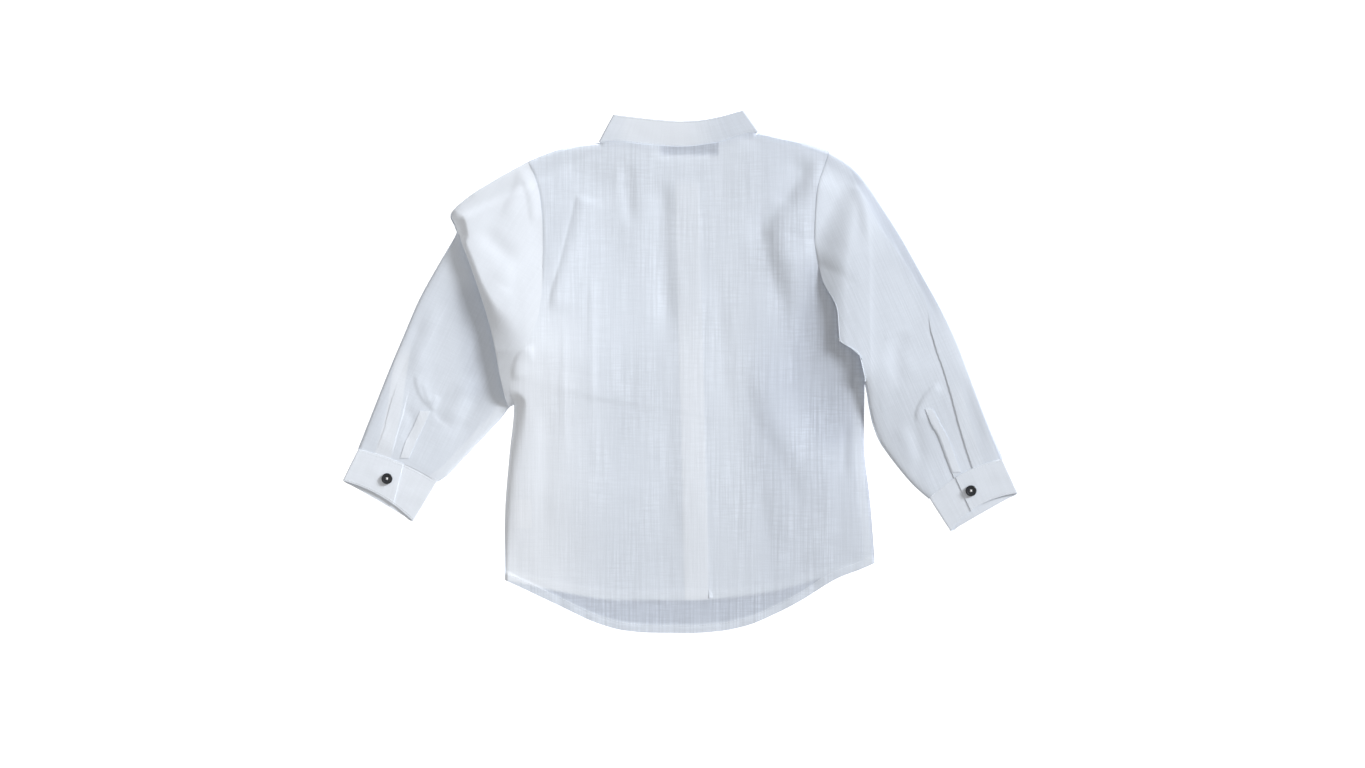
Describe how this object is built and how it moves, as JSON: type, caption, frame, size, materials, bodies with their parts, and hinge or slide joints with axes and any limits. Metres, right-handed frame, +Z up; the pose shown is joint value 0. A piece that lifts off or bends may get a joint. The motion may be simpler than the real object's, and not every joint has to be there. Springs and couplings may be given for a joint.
{
  "type": "long-sleeve shirt",
  "caption": "Child's white long-sleeve shirt with a band collar, buttoned cuffs and a curved hem, laid flat face down with its back up.",
  "frame": {"origin": "the middle of the laid-out shirt's bounding box, on the surface that it lies on", "axes": "+Z up, out of the shirt's back; +Y from the hem towards the collar; +X across the shirt from its left sleeve to its right sleeve"},
  "size_m": [0.6758, 0.523, 0.0147],
  "materials": {
    "cloth": "thin white slub cotton, plain weave, matt with a faint sheen",
    "cloth_double": "the same cotton, doubled and pressed, smooth and opaque",
    "button": "near-black polished button with a raised rim",
    "label": "white satin ribbon, blank"
  },
  "bodies": {
    "root": {"back": "cloth", "front_left": "cloth", "front_right": "cloth", "front_placket": "cloth_double", "button_stand": "cloth_double", "collar_band": "cloth_double", "sleeve_left": "cloth", "sleeve_right": "cloth", "cuff_left": "cloth_double", "cuff_right": "cloth_double", "sleeve_placket_left": "cloth_double", "sleeve_placket_right": "cloth_double", "cuff_button_left": "button", "cuff_button_right": "button", "front_button_1": "button", "front_button_2": "button", "front_button_3": "button", "front_button_4": "button", "front_button_5": "button", "front_button_6": "button", "care_label": "label"}
  },
  "joints": []
}
